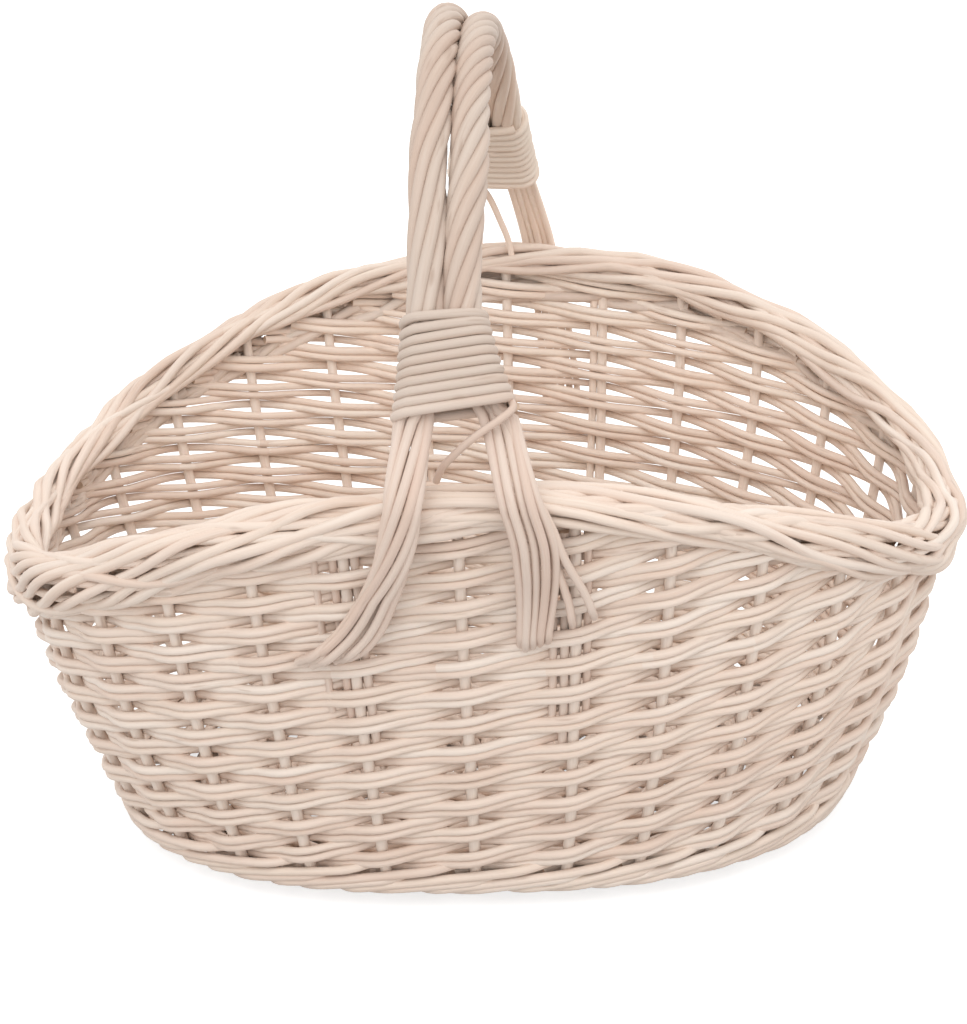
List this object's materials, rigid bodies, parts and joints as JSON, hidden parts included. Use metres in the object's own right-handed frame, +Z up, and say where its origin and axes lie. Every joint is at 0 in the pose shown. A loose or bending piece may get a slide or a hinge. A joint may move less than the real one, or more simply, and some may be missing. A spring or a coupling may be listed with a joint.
{
  "type": "wicker basket",
  "caption": "Oval willow basket with an arched rim, a slanting open weave and a fixed handle of two twisted ropes.",
  "frame": {"origin": "centre of the basket's bounding box, at the underside of the foot", "axes": "+X along the long axis, to the right as seen from the front; +Y from the front to the back; +Z up"},
  "size_m": [0.44, 0.349, 0.3679],
  "materials": {
    "willow_weaver": "peeled willow, satin",
    "willow_stake": "peeled willow, satin",
    "willow_rope": "peeled willow, satin",
    "willow_base": "peeled willow, matt"
  },
  "bodies": {
    "root": {"stake_01": "willow_stake", "stake_02": "willow_stake", "stake_03": "willow_stake", "stake_04": "willow_stake", "stake_05": "willow_stake", "stake_06": "willow_stake", "stake_07": "willow_stake", "stake_08": "willow_stake", "stake_09": "willow_stake", "stake_10": "willow_stake", "stake_11": "willow_stake", "stake_12": "willow_stake", "stake_13": "willow_stake", "stake_14": "willow_stake", "stake_15": "willow_stake", "stake_16": "willow_stake", "stake_17": "willow_stake", "stake_18": "willow_stake", "stake_19": "willow_stake", "stake_20": "willow_stake", "stake_21": "willow_stake", "stake_22": "willow_stake", "stake_23": "willow_stake", "stake_24": "willow_stake", "stake_25": "willow_stake", "stake_26": "willow_stake", "stake_27": "willow_stake", "stake_28": "willow_stake", "weaver_01": "willow_weaver", "weaver_02": "willow_weaver", "weaver_03": "willow_weaver", "weaver_04": "willow_weaver", "weaver_05": "willow_weaver", "weaver_06": "willow_weaver", "weaver_07": "willow_weaver", "weaver_08": "willow_weaver", "weaver_09": "willow_weaver", "weaver_10": "willow_weaver", "weaver_11": "willow_weaver", "weaver_12": "willow_weaver", "weaver_13": "willow_weaver", "weaver_14": "willow_weaver", "front_packing": "willow_weaver", "rear_packing": "willow_weaver", "border": "willow_weaver", "foot_wale": "willow_weaver", "base_long_stick_1": "willow_base", "base_long_stick_2": "willow_base", "base_short_stick_1": "willow_base", "base_short_stick_2": "willow_base", "base_short_stick_3": "willow_base", "base_weave": "willow_base", "handle_rope_left": "willow_rope", "handle_rope_right": "willow_rope", "front_binding": "willow_rope", "rear_binding": "willow_rope", "front_core_rod_left": "willow_rope", "front_core_rod_right": "willow_rope", "rear_core_rod_right": "willow_rope", "rear_core_rod_left": "willow_rope"}
  },
  "joints": []
}
